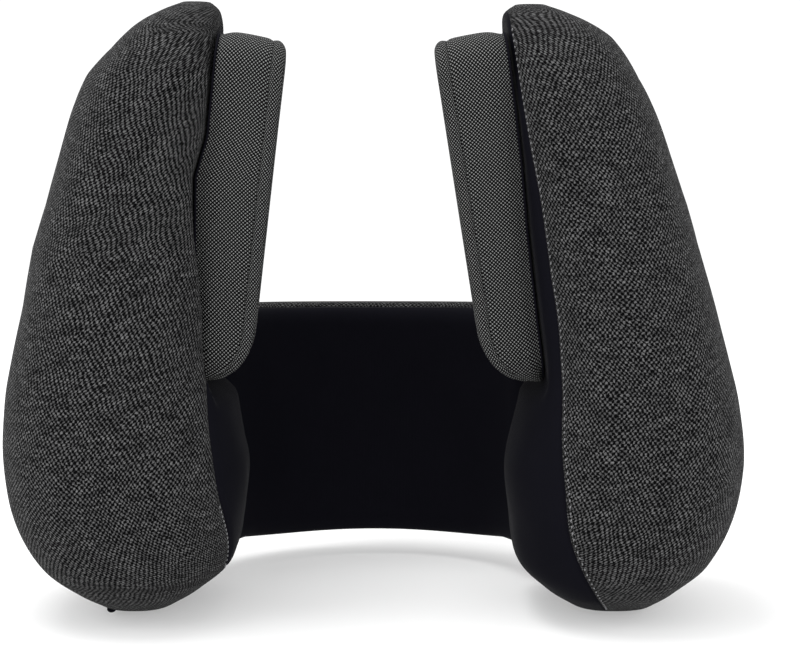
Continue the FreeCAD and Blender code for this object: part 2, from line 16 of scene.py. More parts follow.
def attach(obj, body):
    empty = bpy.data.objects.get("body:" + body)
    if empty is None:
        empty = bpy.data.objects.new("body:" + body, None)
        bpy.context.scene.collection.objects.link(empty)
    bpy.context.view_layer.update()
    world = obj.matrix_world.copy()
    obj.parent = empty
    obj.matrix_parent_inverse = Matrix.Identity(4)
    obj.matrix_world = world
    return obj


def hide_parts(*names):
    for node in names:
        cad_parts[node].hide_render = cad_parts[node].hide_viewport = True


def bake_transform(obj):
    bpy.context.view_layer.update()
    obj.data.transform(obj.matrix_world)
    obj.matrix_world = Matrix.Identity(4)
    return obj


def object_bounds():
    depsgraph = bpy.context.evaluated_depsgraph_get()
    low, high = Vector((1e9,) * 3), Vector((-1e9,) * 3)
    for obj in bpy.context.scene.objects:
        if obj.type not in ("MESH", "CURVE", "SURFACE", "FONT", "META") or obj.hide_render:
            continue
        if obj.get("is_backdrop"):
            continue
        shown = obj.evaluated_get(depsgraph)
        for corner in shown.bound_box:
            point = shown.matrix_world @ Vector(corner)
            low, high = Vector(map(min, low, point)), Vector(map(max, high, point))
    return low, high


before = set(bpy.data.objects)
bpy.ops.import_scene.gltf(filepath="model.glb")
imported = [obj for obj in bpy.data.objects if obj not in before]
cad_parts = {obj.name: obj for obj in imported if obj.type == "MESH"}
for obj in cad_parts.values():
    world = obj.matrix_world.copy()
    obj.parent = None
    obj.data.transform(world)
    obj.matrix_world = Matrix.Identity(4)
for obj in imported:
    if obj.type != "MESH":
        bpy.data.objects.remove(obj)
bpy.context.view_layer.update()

MM = 0.001

# %% [markdown]
# ## The view
# The object stands on a table and is seen straight into its open front, from a little above. A long lens
# keeps the two wings upright. The camera goes in first.

# %% Camera
CAMERA_DISTANCE = 0.85
CAMERA_ELEVATION = math.radians(6.0)
CAMERA_AIM = Vector((0.0115, 0.0, 0.1107))
LENS = 90.8



def placed(name, data, location=(0.0, 0.0, 0.0)):
    """A new object in the scene."""
    item = bpy.data.objects.new(name, data)
    item.location = location
    bpy.context.scene.collection.objects.link(item)
    return item


camera_data = bpy.data.cameras.new("camera")
camera_data.lens = LENS
camera_data.clip_end = 50.0
toward_viewer = Vector((0.0, -math.cos(CAMERA_ELEVATION), math.sin(CAMERA_ELEVATION)))
camera = placed("camera", camera_data, CAMERA_AIM + CAMERA_DISTANCE * toward_viewer)
camera.rotation_euler = (math.pi / 2 - CAMERA_ELEVATION, 0.0, 0.0)
bpy.context.scene.camera = camera
bpy.context.scene.view_settings.view_transform = "Standard"
print("camera at", [round(v, 3) for v in camera.location])

# %% [markdown]
# ## Writing cloth as sums
# A weave is arithmetic on a place in the cloth: waves, steps and a little noise. Dragging a hundred Math
# nodes by hand hides that, so a small class wraps a socket and lets plus, minus and times add the nodes. `1 -
# holes` then works in a material just as it does on paper.

# %% Arithmetic on sockets
class Wave:
    """One output socket, with operators that add Math nodes."""

    def __init__(self, dye, socket):
        self.dye = dye
        self.socket = socket

    def math(self, operation, *others):
        values = dict(enumerate((self, *others)))
        return self.dye.add("ShaderNodeMath", {"operation": operation}, values)["Value"]

    def __add__(self, other):
        return self.math("ADD", other)

    __radd__ = __add__

    def __sub__(self, other):
        return self.math("SUBTRACT", other)

    def __rsub__(self, other):
        return self.dye.number(other).math("SUBTRACT", self)

    def __mul__(self, other):
        return self.math("MULTIPLY", other)

    __rmul__ = __mul__

    def cosine(self):
        return self.math("COSINE")

    def size(self):
        return self.math("ABSOLUTE")

    def ripple(self, period):
        """A wave of that length in millimetres, between -1 and 1."""
        return (self * (2 * math.pi / period)).cosine()

    def step(self, low, high):
        """0 below low, 1 above high, and a smooth rise between."""
        settings = {"interpolation_type": "SMOOTHSTEP"}
        values = {"Value": self, "From Min": low, "From Max": high, "To Min": 0.0, "To Max": 1.0}
        return self.dye.add("ShaderNodeMapRange", settings, values)["Result"]


class Dye:
    """A material being built: every node comes from add()."""

    def __init__(self, name):
        self.material = bpy.data.materials.new(name)
        self.material.use_nodes = True
        self.tree = self.material.node_tree
        self.tree.nodes.clear()

    def add(self, kind, settings=None, sockets=None):
        node = self.tree.nodes.new(kind)
        for key, value in (settings or {}).items():
            if key == "stops":
                self.set_stops(node.color_ramp, value)
            else:
                setattr(node, key, value)
        for key, value in (sockets or {}).items():
            if isinstance(value, Wave):
                self.tree.links.new(value.socket, node.inputs[key])
            else:
                node.inputs[key].default_value = value
        return {socket.name: Wave(self, socket) for socket in reversed(node.outputs) if socket.enabled}

    @staticmethod
    def set_stops(ramp, stops):
        while len(ramp.elements) < len(stops):
            ramp.elements.new(0.5)
        for element, (place, colour) in zip(ramp.elements, stops):
            element.position = place
            element.color = (*colour, 1.0)

    def number(self, value):
        """A plain number as a socket."""
        return self.add("ShaderNodeMath", {"operation": "ADD"}, {0: value, 1: 0.0})["Value"]

    def blend(self, share, first, second):
        """A colour between two colours."""
        first = first if isinstance(first, Wave) else (*first, 1.0)
        second = second if isinstance(second, Wave) else (*second, 1.0)
        settings = {"data_type": "RGBA"}
        return self.add("ShaderNodeMix", settings, {0: share, 6: first, 7: second})["Result"]

    def cloth(self):
        """Along and across the flat cloth, in millimetres."""
        place = self.add("ShaderNodeUVMap", {"uv_map": "cloth"})["UV"]
        split = self.add("ShaderNodeSeparateXYZ", None, {0: place})
        return split["X"], split["Y"]

    def place(self):
        """Where a point is on the object, in metres."""
        return self.add("ShaderNodeTexCoord")["Object"]

    def join(self, x, y, z=0.0):
        return self.add("ShaderNodeCombineXYZ", None, {0: x, 1: y, 2: z})["Vector"]

    def noise(self, at, scale, detail=2.0, roughness=0.5):
        sockets = {"Vector": at, "Scale": scale, "Detail": detail, "Roughness": roughness}
        return self.add("ShaderNodeTexNoise", {"noise_dimensions": "3D"}, sockets)["Fac"]

    def cells(self, at, scale):
        """The distance to the nearest of many scattered points."""
        settings = {"voronoi_dimensions": "3D", "feature": "F1"}
        return self.add("ShaderNodeTexVoronoi", settings, {"Vector": at, "Scale": scale})["Distance"]

    def bump(self, height, distance, strength=1.0):
        sockets = {"Height": height, "Distance": distance, "Strength": strength}
        return self.add("ShaderNodeBump", None, sockets)["Normal"]

    def finish(self, **sockets):
        """The surface itself: constants are set on the shader, and only varying values are linked."""
        named = {key.replace("_", " "): value for key, value in sockets.items()}
        surface = self.add("ShaderNodeBsdfPrincipled", None, named)["BSDF"]
        self.add("ShaderNodeOutputMaterial", None, {"Surface": surface})
        return self.material


# %% [markdown]
# ## Heather grey knit
# The outside is a fine warp knit: light and dark yarns twisted together, drawn into loops about two
# millimetres apart, with a dark eye in the middle of each loop. The product of two cosines gives exactly that
# staggered net of eyes. The net is sheared and shaken with noise because stretched cloth never lies square,
# and the yarn's own colour comes in short streaks along the rows.

# %% Knit
KNIT_WALE = 1.85  # mm between loops across
KNIT_COURSE = 2.20  # mm between rows


def heather_knit():
    dye = Dye("heather_knit")
    along, across = dye.cloth()
    here = dye.join(along, across)
    drift = dye.noise(here, 0.06, 1.0) - 0.5
    shake = dye.noise(here, 0.62, 2.0, 0.6) - 0.5
    other_shake = dye.noise(dye.join(across, along), 0.66, 2.0, 0.6) - 0.5
    u = along - across * 0.20 + drift * 4.0 + shake * 1.9
    v = across + along * 0.05 + drift * 2.0 + other_shake * 1.9
    eyes = u.ripple(KNIT_WALE) * v.ripple(KNIT_COURSE)
    yarn = 1 - eyes.step(-0.56, 0.26)
    streak = dye.noise(dye.join(along * 0.09, across * 0.55), 1.0, 3.0, 0.65)
    ply = dye.noise(dye.join(along * 1.3, across * 1.9), 1.0, 2.0, 0.6)
    shade = streak.step(0.32, 0.70) * 0.5 + ply.step(0.34, 0.72) * 0.5
    light_yarn = dye.blend(shade, (0.018, 0.018, 0.019), (0.160, 0.160, 0.161))
    colour = dye.blend(yarn, (0.0008, 0.0008, 0.0010), light_yarn)
    normal = dye.bump(yarn * 0.8 + ply * 0.2, 0.00045, 1.0)
    return dye.finish(Base_Color=colour, Roughness=0.95, Normal=normal, Sheen_Weight=0.03, Sheen_Roughness=0.4,
                      Specular_IOR_Level=0.04)


# %% [markdown]
# ## Black jersey
# The neck side is a brushed stretch jersey, nearly black, smooth enough that only a faint nap and the soft
# light along its edges show. Sheen does the nap; a very fine rib in the bump keeps it from looking like
# paint.

# %% Jersey
RIB_PITCH = 0.7  # mm between the ribs of the jersey


def black_jersey():
    dye = Dye("black_jersey")
    along, across = dye.cloth()
    here = dye.join(along, across)
    rib = along.ripple(RIB_PITCH) * 0.5 + 0.5
    nap = dye.noise(here, 1.6, 3.0, 0.7)
    cloud = dye.noise(here, 0.05, 2.0)
    colour = dye.blend(nap * 0.6 + cloud * 0.4, (0.0028, 0.0028, 0.0044), (0.0052, 0.0051, 0.0080))
    normal = dye.bump(rib * 0.4 + nap * 0.6, 0.00012, 0.6)
    return dye.finish(Base_Color=colour, Roughness=0.85, Normal=normal, Sheen_Weight=0.03, Sheen_Roughness=0.2,
                      Specular_IOR_Level=0.03)


# %% [markdown]
# ## Pad weave
# The pads wear a coarse basket weave laid on the bias, so its little light squares run at 45 degrees. Two
# cosines along the diagonals make the squares, and the gaps between them are nearly black.

# %% Weave
WEAVE_PITCH = 1.03  # mm between neighbouring light squares along a diagonal


def pad_weave():
    dye = Dye("pad_weave")
    along, across = dye.cloth()
    here = dye.join(along, across)
    wobble = (dye.noise(here, 0.25, 2.0) - 0.5) * 0.35
    turn = math.sqrt(0.5)
    warp = ((along + across) * turn + wobble) * (math.pi / WEAVE_PITCH)
    weft = ((along - across) * turn - wobble) * (math.pi / WEAVE_PITCH)
    over = warp.cosine().size() * weft.cosine().size()
    tuft = over.step(0.42, 0.88)
    tone = dye.noise(here, 0.9, 2.0, 0.6)
    light = dye.blend(tone, (0.095, 0.097, 0.096), (0.300, 0.304, 0.300))
    colour = dye.blend(tuft, (0.0008, 0.0008, 0.0009), light)
    normal = dye.bump(tuft, 0.0003, 0.8)
    return dye.finish(Base_Color=colour, Roughness=0.85, Normal=normal, Sheen_Weight=0.02,
                      Specular_IOR_Level=0.05)


# %% [markdown]
# ## The smaller materials
# Thread, moulded plastic, plated steel, open foam, webbing and hook tape each need only one idea: a twist, a
# grain, a brushing, pores, a rib, a fuzz. They are small or hidden, so one short function apiece is enough.

# %% Small finishes
WEBBING_RIBS = (1.1, 2.2)  # mm between ribs along the webbing and across it


def seam_thread(name, dark, light):
    dye = Dye(name)
    along, across = dye.cloth()
    twist = (along * 1.4 + across * 0.8).ripple(1.0) * 0.5 + 0.5
    colour = dye.blend(twist, dark, light)
    return dye.finish(Base_Color=colour, Roughness=0.8, Normal=dye.bump(twist, 0.0001), Sheen_Weight=0.1)


def moulded(name, dark, light, roughness):
    dye = Dye(name)
    grain = dye.noise(dye.place(), 1400.0, 2.0, 0.6)
    cloud = dye.noise(dye.place(), 60.0, 2.0)
    colour = dye.blend(cloud, dark, light)
    shine = cloud * 0.12 + roughness
    return dye.finish(Base_Color=colour, Roughness=shine, Normal=dye.bump(grain, 0.00005, 0.5),
                      Specular_IOR_Level=0.45)


def plated_steel():
    dye = Dye("plated_steel")
    place = dye.place()
    split = dye.add("ShaderNodeSeparateXYZ", None, {0: place})
    brushed = dye.noise(dye.join(split["X"] * 900.0, split["Y"] * 900.0, split["Z"] * 40.0), 1.0, 3.0)
    colour = dye.blend(brushed, (0.42, 0.42, 0.43), (0.62, 0.62, 0.63))
    return dye.finish(Base_Color=colour, Metallic=1.0, Roughness=brushed * 0.2 + 0.25,
                      Normal=dye.bump(brushed, 0.00002, 0.4))


def open_foam():
    dye = Dye("open_foam")
    place = dye.place()
    pores = dye.cells(place, 700.0)
    cloud = dye.noise(place, 25.0, 2.0)
    colour = dye.blend(pores.step(0.0, 0.5) * 0.8 + cloud * 0.2, (0.78, 0.76, 0.68), (0.52, 0.50, 0.44))
    return dye.finish(Base_Color=colour, Roughness=0.95, Normal=dye.bump(pores, 0.0004, 0.6))


def woven_webbing():
    dye = Dye("woven_webbing")
    along, across = dye.cloth()
    rib = along.ripple(WEBBING_RIBS[0]) * across.ripple(WEBBING_RIBS[1])
    height = rib * 0.5 + 0.5
    fuzz = dye.noise(dye.join(along, across), 1.3, 2.0)
    # painted shade: the colour is lighter on the rib's crests and darker in the grooves between them
    colour = dye.blend(height * 0.7 + fuzz * 0.3, (0.002, 0.002, 0.003), (0.050, 0.050, 0.053))
    return dye.finish(Base_Color=colour, Roughness=0.6, Normal=dye.bump(height, 0.0004, 1.0),
                      Specular_IOR_Level=0.2)


def fuzzy_loops():
    dye = Dye("fuzzy_loops")
    fuzz = dye.noise(dye.place(), 1600.0, 3.0, 0.7)
    tuft = dye.cells(dye.place(), 900.0)
    colour = dye.blend(fuzz, (0.004, 0.004, 0.005), (0.025, 0.025, 0.027))
    return dye.finish(Base_Color=colour, Roughness=0.9, Normal=dye.bump(tuft, 0.0004), Sheen_Weight=0.15)


finishes = {
    "heather_knit": heather_knit(),
    "black_jersey": black_jersey(),
    "pad_weave": pad_weave(),
    "piping": seam_thread("seam_thread", (0.006, 0.006, 0.007), (0.030, 0.030, 0.032)),
    "overlock": seam_thread("overlock", (0.120, 0.120, 0.125), (0.330, 0.330, 0.340)),
    "foam": open_foam(),
    "springy_plastic": moulded("springy_plastic", (0.012, 0.012, 0.013), (0.020, 0.020, 0.022), 0.50),
    "hinge_steel": plated_steel(),
    "hook_and_loop": fuzzy_loops(),
    "webbing": woven_webbing(),
    "buckle_plastic": moulded("buckle_plastic", (0.010, 0.010, 0.011), (0.018, 0.018, 0.019), 0.35),
    "zip_metal": moulded("zip_metal", (0.012, 0.012, 0.013), (0.030, 0.030, 0.032), 0.25),
}
print("finishes:", ", ".join(finishes))

# %% [markdown]
# ## Cloth as rows of points
# Every soft piece here is a sheet that can be drawn as rows of points. Making the mesh from such a grid keeps
# the quads even, and each corner also remembers how far along and across the flat cloth it is, in
# millimetres, so that stitches stay the same size everywhere.

# %% From a grid to a cloth piece
def lengths_along(points):
    """The distance walked to each point of a row, in millimetres."""
    steps = np.linalg.norm(np.diff(points, axis=0), axis=-1)
    return np.concatenate([np.zeros((1,) + steps.shape[1:]), np.cumsum(steps, axis=0)])


def at_lengths(line, wanted):
    """Points of a line at those distances from its start."""
    walked = lengths_along(line)
    return np.stack([np.interp(wanted, walked, line[:, k]) for k in range(line.shape[1])], axis=-1)


def evenly(line, count, closed=False):
    """The line again, as that many points the same distance apart."""
    return at_lengths(line, np.linspace(0, lengths_along(line)[-1], count, endpoint=not closed))


def closed_rings(grid):
    """A grid of rings with each ring's first point repeated at its end."""
    return np.concatenate([grid, grid[:, :1]], axis=1)


def rounded_outline(left, right, bottom, top, corner, inset=0.0, steps=24):
    """A rectangle with round corners, walked from the bottom right corner upwards."""
    points = []
    corners = ((right - corner, bottom + corner), (right - corner, top - corner),
               (left + corner, top - corner), (left + corner, bottom + corner))
    for quarter, (across, up) in enumerate(corners):
        for angle in np.radians(np.linspace(quarter * 90 - 90, quarter * 90, steps)):
            points.append((across + (corner - inset) * math.cos(angle), up + (corner - inset) * math.sin(angle)))
    return np.array(points)


def flat_places(grid, ring=False):
    """Each grid point's place on the flat cloth: along the rows, and up the columns."""
    closed = closed_rings(grid) if ring else grid
    return np.stack([np.stack([lengths_along(row) for row in closed]), lengths_along(closed)], axis=-1)


def centred(flat):
    """Flat places measured from the middle column, so that the loops run true there."""
    middle = flat.shape[1] // 2
    flat[..., 0] -= flat[:, middle:middle + 1, 0]
    return flat


def dressed(name, mesh, finish):
    """Makes an object of a mesh, shaded smooth, in that finish."""
    mesh.polygons.foreach_set("use_smooth", [True] * len(mesh.polygons))
    mesh.materials.append(finishes[finish])
    return placed(name, mesh)


def cloth_piece(name, grid, flat, finish, ring=False, thickness=0.0):
    rows, columns = grid.shape[:2]
    faces, corners = [], []
    for row in range(rows - 1):
        for column in range(columns if ring else columns - 1):
            after = (column + 1) % columns
            faces.append((row * columns + column, row * columns + after,
                          (row + 1) * columns + after, (row + 1) * columns + column))
            corners += [(row, column), (row, column + 1), (row + 1, column + 1), (row + 1, column)]
    mesh = bpy.data.meshes.new(name)
    mesh.from_pydata((grid.reshape(-1, 3) * MM).tolist(), [], faces)
    places = mesh.uv_layers.new(name="cloth")
    picked = np.array(corners)
    places.data.foreach_set("uv", flat[picked[:, 0], picked[:, 1]].astype(np.float32).ravel())
    piece = dressed(name, mesh, finish)
    tidy_mesh(piece)
    if thickness:
        thick = piece.modifiers.new("cloth thickness", "SOLIDIFY")
        thick.thickness = thickness * MM
        thick.offset = -1.0
    return piece


def stand_in(piece, node, body):
    """Puts a piece in place of a node of the engineering model, on that body."""
    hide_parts(node)
    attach(piece, body)
    return piece


def tidy_mesh(piece, close=False):
    """Welds points that fell together and drops faces with no area, or closes open ends."""
    work = bmesh.new()
    work.from_mesh(piece.data)
    if close:
        bmesh.ops.holes_fill(work, edges=[edge for edge in work.edges if edge.is_boundary], sides=0)
        bmesh.ops.recalc_face_normals(work, faces=work.faces)
    else:
        bmesh.ops.remove_doubles(work, verts=work.verts, dist=0.02 * MM)
        bmesh.ops.dissolve_degenerate(work, dist=0.01 * MM, edges=work.edges)
    work.to_mesh(piece.data)
    work.free()


def outward_normals(grid, middle):
    """Unit normals of a grid of points, pointing away from middle."""
    across = np.gradient(grid, axis=1)
    up = np.gradient(grid, axis=0)
    normals = np.cross(across, up)
    size = np.linalg.norm(normals, axis=-1, keepdims=True)
    normals = normals / np.maximum(size, 1e-9)
    away = np.sum(normals * (grid - middle), axis=-1)
    return normals if np.mean(away) > 0 else -normals


def uneven(grid, wavelength, seed):
    """Smooth random numbers about 0 at each point, with that wavelength in millimetres."""
    flat = grid.reshape(-1, 3) / wavelength + seed
    return np.array([noise.noise(Vector(point)) for point in flat]).reshape(grid.shape[:2])

# %% [markdown]
# ## Wings
# A wing is a tall stuffed form, like a boxing glove stood on its cuff. It could be sculpted, but a tailor
# would cut it from a stack of measured girths, and the engineering model has the same girths, so the cloth is
# drawn through them: at each height an oval a little squarer than an ellipse, and smooth curves from one
# height to the next.

# %% Wing form
# Height, inner side, outer side, front, back, in mm.
WING_GIRTHS = np.array([
    (0.0, 90.0, 104.0, -40.0, -20.0),
    (1.5, 83.3, 109.8, -50.5, -9.0),
    (5.0, 77.6, 114.2, -61.0, 4.0),
    (12.0, 68.3, 122.2, -77.0, 15.0),
    (22.0, 57.9, 134.9, -87.0, 24.0),
    (38.0, 55.2, 143.5, -94.0, 29.5),
    (60.0, 53.5, 147.7, -96.5, 31.0),
    (85.0, 60.0, 146.4, -95.5, 31.0),
    (105.0, 63.5, 142.5, -93.5, 30.5),
    (130.0, 61.8, 136.6, -90.0, 29.0),
    (155.0, 59.0, 129.8, -86.0, 27.0),
    (180.0, 56.3, 122.2, -81.5, 24.0),
    (205.0, 54.0, 113.8, -76.0, 19.0),
    (222.0, 53.8, 103.5, -69.5, 12.0),
    (234.0, 55.4, 92.5, -61.0, 3.0),
    (241.0, 58.0, 81.5, -52.0, -6.0),
    (244.5, 62.0, 74.0, -42.0, -16.0),
])
SQUARENESS = 2.6
WING_TOP = 244.5
TOP_DROP = {1: 1.1, -1: 0.0}  # how much lower each wing's top stands; 1 is the right wing and -1 the left
FINE = 900  # points on a curve before it is cut into equal steps
WING_ROWS = 150
KNIT_COLUMNS = 120
JERSEY_COLUMNS = 60
SHIFT = 1.2  # the pair stands a little to one side, and leans the other way above LEAN_FROM
LEAN = 0.030
LEAN_FROM = 62.0
PAD_LEAN = math.radians(6.0)
PAD_ROOT = np.array([68.8, 0.0, 96.0])
PAD_FRONT = -62.0
PAD_BACK = 8.0
PAD_HEIGHT = 137.0


# What each wing differs by from the pair's own girths, in mm: height, inner side, outer side.
UNEVEN_STUFFING = {
    1: [(0, -2.4, 2.8), (8, -2.0, 2.4), (16, -0.8, 0.9), (26, 0, 0), (150, 0, 0), (165, 0, 1.0), (205, 0, 1.0),
        (215, -0.3, 1.4), (225, -0.8, 3.2), (232, -2.4, 4.4), (239, -2.4, 2.6), (245, -0.5, -0.5)],
    -1: [(0, 0, 0), (14, -0.9, 0), (24, -0.6, 0), (38, -1.8, 0), (68, -1.8, 0), (84, -4.0, 0), (118, -4.0, 0),
         (125, -3.6, 0), (148, -2.4, 1.4), (165, -0.6, 0.2), (180, 0, 0.3), (205, 0, 0.4), (216, 0, 1.2),
         (226, -0.4, -1.0), (239, -1.6, -1.3), (245, -2.6, -3.0)],
}


def smooth_through(table, places):
    """Catmull-Rom curves through the rows of a table, at fractional row numbers."""
    ends = np.concatenate([[2 * table[0] - table[1]], table, [2 * table[-1] - table[-2]]])
    base = np.clip(places.astype(int), 0, len(table) - 2)
    t = (places - base)[:, None]
    p0, p1, p2, p3 = (ends[base + k] for k in range(4))
    return 0.5 * (2 * p1 + (p2 - p0) * t + (2 * p0 - 5 * p1 + 4 * p2 - p3) * t ** 2
                  + (3 * p1 - p0 - 3 * p2 + p3) * t ** 3)


def even_rows(count):
    """Girths at rows the same distance apart, measured up the wing's outer side."""
    fine = smooth_through(WING_GIRTHS, np.linspace(0, len(WING_GIRTHS) - 1, FINE))
    walked = lengths_along(fine[:, [0, 2]])
    wanted = np.linspace(0, walked[-1], count)
    return np.stack([np.interp(wanted, walked, fine[:, k]) for k in range(5)], axis=1)


def oval(girth, turns):
    """Points of the squared oval at those angles; 0 is the outer side and -90 degrees the front."""
    height, inner, outer, front, back = girth
    x, y = (np.sign(wave) * np.abs(wave) ** (2 / SQUARENESS) for wave in (np.cos(turns), np.sin(turns)))
    return np.stack([(inner + outer) / 2 + (outer - inner) / 2 * x, (front + back) / 2 + (back - front) / 2 * y,
                     np.full_like(x, height)], axis=-1)


def smooth_step(value, low, high):
    t = np.clip((value - low) / (high - low), 0, 1)
    return t * t * (3 - 2 * t)


def tilted(points, angle):
    """Turns points about the front-to-back line, their z towards their x."""
    cosine, sine = math.cos(angle), math.sin(angle)
    return np.stack([points[..., 0] * cosine + points[..., 2] * sine, points[..., 1],
                     points[..., 2] * cosine - points[..., 0] * sine], axis=-1)


def to_pad(points):
    """Right-hand points in the pad's own frame: -x at the head, z up the leaning face."""
    return tilted(points - PAD_ROOT, PAD_LEAN)


def from_pad(points):
    return tilted(points, -PAD_LEAN) + PAD_ROOT


PAD_SEAT = 1.4  # the wing's cloth lies this far outside the pad's back
# How much further out the pad's back lies, up the pad; the left one is sunk deeper into its wing half way up.
SINK = {1: [(0, -0.9), (24, -0.9), (60, -0.3), (84, 0.9), (109, 1.3), (137, 1.4)],
        -1: [(0, 0.0), (24, 0.6), (54, 3.6), (80, 5.0), (88, 3.2), (96, 1.4), (137, 0.2)]}
LIP = {1: 0.0, -1: 9.0}  # the cloth before the left pad's foot stays proud this far behind the pad's edge
SOFTNESS = 1.2  # how gently the cloth turns from free to pressed


def sunk(height, side):
    places, depths = np.array(SINK[side], float).T
    return np.interp(height, places, depths)


def seated(points, side, inset):
    """Presses the wing's inner side flat where its pad lies."""
    local = to_pad(points)
    by_height = smooth_step(local[..., 2], -9.0, 1.0)
    lip = LIP[side] * (1 - smooth_step(local[..., 2], 22.0, 62.0))
    by_depth = smooth_step(local[..., 1], PAD_FRONT - 15.0 + lip, PAD_FRONT - 3.0 + lip / 6)
    share = by_height * by_depth
    seat = PAD_SEAT + inset + sunk(local[..., 2], side)
    pushed = SOFTNESS * np.logaddexp(local[..., 0] / SOFTNESS, seat / SOFTNESS)
    local[..., 0] = local[..., 0] * (1 - share) + pushed * share
    return from_pad(local)


def leaned(points, side):
    """Mirrors for the left wing, then leans."""
    points = points.copy()
    points[..., 0] *= side
    points[..., 0] += SHIFT - LEAN * np.maximum(points[..., 2] - LEAN_FROM, 0)
    return points


# The seam between knit and jersey on the front of each wing: height and distance from the middle plane, in mm.
SEAMS = {
    1: {"front": [(0, 95), (8, 89.5), (19, 82.8), (38, 74.3), (72, 71.4), (95, 72.6), (119, 72.4), (168, 66.4),
                  (207, 60.6), (228, 58.2), (239, 58.0)], "closes": 244.0},
    -1: {"front": [(0, 79), (8, 66), (20, 58.6), (30, 56.4), (44, 57.4), (60, 60.2), (69, 61.2), (76, 62.1),
                   (88, 62.9), (108, 63.6), (125, 63.9), (140, 63.8), (150, 62.6), (161, 60.0), (176, 59.0),
                   (206, 54.6), (228, 54.2), (237, 56.6)], "closes": 236.0},
}
BACK_SEAM = [(0, 92), (12, 80), (30, 74), (60, 72), (115, 72), (150, 70), (205, 63), (236, 57)]
SEAM_DIP = (0.9, 2.4)  # how deep the cloth is drawn in at its seams, and how far from them that is felt
SWELLS = ((46.0, 3.0, 0.8), (19.0, 9.0, 0.25))  # uneven stuffing: wavelength, seed, height
SEAM_EASE = np.linspace(-7, 7, 7)  # the seam's course is averaged over these heights
CAP_STEPS = 9
WING_MIDDLE = np.array([95.0, -30.0, 110.0])


def seam_turns(girth, front_x, back_x, closing):
    """The angles at which the front and back seams meet the oval; closing draws both to the head's side."""
    half = 720
    turns = np.linspace(-math.pi, math.pi, 2 * half + 1)
    across = oval(girth, turns)[:, 0]
    front = np.interp(front_x, across[:half + 1], turns[:half + 1])
    back = np.interp(-back_x, -across[half:], turns[half:])
    return front + (-math.pi - front) * closing, back + (math.pi - back) * closing


def arc_row(girth, start, end, columns):
    """One row of points between two angles of the oval, the same distance apart."""
    return evenly(oval(girth, np.linspace(start, end, FINE)), columns)


def drawn_in(distance, dip):
    """How deep a seam draws the cloth in at that distance from it; dip is its depth and reach."""
    return dip[0] * np.exp(-(distance / dip[1]) ** 2)


def seam_dip(grid):
    """How deep the two seams along a grid's edges draw it in at each point."""
    along = np.stack([lengths_along(row) for row in grid])
    return drawn_in(np.minimum(along, along[:, -1:] - along), SEAM_DIP)


def capped(rows, girths):
    """Closes the top and foot with rows that shrink to the middle of the last girth."""
    middles = [np.array([girth[1:3].mean(), girth[3:5].mean(), height])
               for girth, height in ((girths[0], 0.0), (girths[-1], girths[-1][0]))]
    foot, crown = [], []
    for shrink in 1 - np.arange(1, CAP_STEPS + 1) / CAP_STEPS:
        foot.append(middles[0] + (rows[0] - middles[0]) * shrink)
        crown.append(middles[1] + (rows[-1] - middles[1]) * shrink + np.array([0, 0, 0.3 * (1 - shrink ** 2)]))
    return np.stack(foot[::-1] + rows + crown)


def wing_grids(side, inset=0.0):
    """The knit and the jersey of one wing, as grids of points for the right-hand side."""
    seams = SEAMS[side]
    girths = even_rows(WING_ROWS)
    uneven_heights, inner_more, outer_more = np.array(UNEVEN_STUFFING[side], float).T
    girths[:, 1] += np.interp(girths[:, 0], uneven_heights, inner_more)
    girths[:, 2] += np.interp(girths[:, 0], uneven_heights, outer_more)
    girths[:, 0] -= TOP_DROP[side] * smooth_step(girths[:, 0], 170, 244)
    if inset:
        girths = girths + np.array([0, inset, -inset, inset, -inset])
        girths[:, 0] = inset + girths[:, 0] * (WING_TOP - 2 * inset) / WING_TOP
    heights, distances = np.array(seams["front"], float).T
    back_heights, back_distances = np.array(BACK_SEAM, float).T
    knit, jersey = [], []
    for girth in girths:
        front_x = np.interp(girth[0] + SEAM_EASE, heights, distances).mean()
        back_x = np.interp(girth[0], back_heights, back_distances)
        closing = float(smooth_step(girth[0], seams["closes"] - 5, seams["closes"])) * 0.995
        front, back = seam_turns(girth, front_x, back_x, closing)
        knit.append(arc_row(girth, front, back, KNIT_COLUMNS))
        jersey.append(arc_row(girth, back, front + 2 * math.pi, JERSEY_COLUMNS))
    grids = []
    for rows in (knit, jersey):
        grid = capped(rows, girths)
        swell = sum(uneven(grid * side, wavelength, seed + side) * height for wavelength, seed, height in SWELLS)
        settle = smooth_step(grid[..., 2], 2.0, 18.0) * (1 - 0.8 * smooth_step(grid[..., 2], 215.0, 238.0))
        shift = (swell - seam_dip(grid)) * settle
        grid = grid + outward_normals(grid, WING_MIDDLE) * shift[..., None]
        grids.append(seated(grid, side, inset))
    return grids


def show_grid(side, grid):
    """Left-hand grids are mirrored, and their columns reversed so that faces still point outwards."""
    grid = leaned(grid, side)
    return grid if side > 0 else grid[:, ::-1]


SIDES = {1: "right", -1: "left"}
COVER_CLOTH = 1.2  # mm of cloth: in the wings' and band's covers, the pads' panels, their backs and tapes
PAD_CLOTH = 1.0
BACKING = 0.8


def body_name(stem, side):
    return f"{stem}_{SIDES[side]}"


def wing(side):
    knit, jersey = (show_grid(side, grid) for grid in wing_grids(side))
    for grid, cloth, finish in ((knit, "knit", "heather_knit"), (jersey, "jersey", "black_jersey")):
        name = body_name(f"wing_{cloth}", side)
        piece = cloth_piece(name, grid, centred(flat_places(grid)), finish, thickness=COVER_CLOTH)
        stand_in(piece, body_name(f"wing_{cloth}_cover", side), body_name("wing", side))
        print(name, "rows and columns", grid.shape[:2])
    return knit, jersey


wings = {side: wing(side) for side in SIDES}

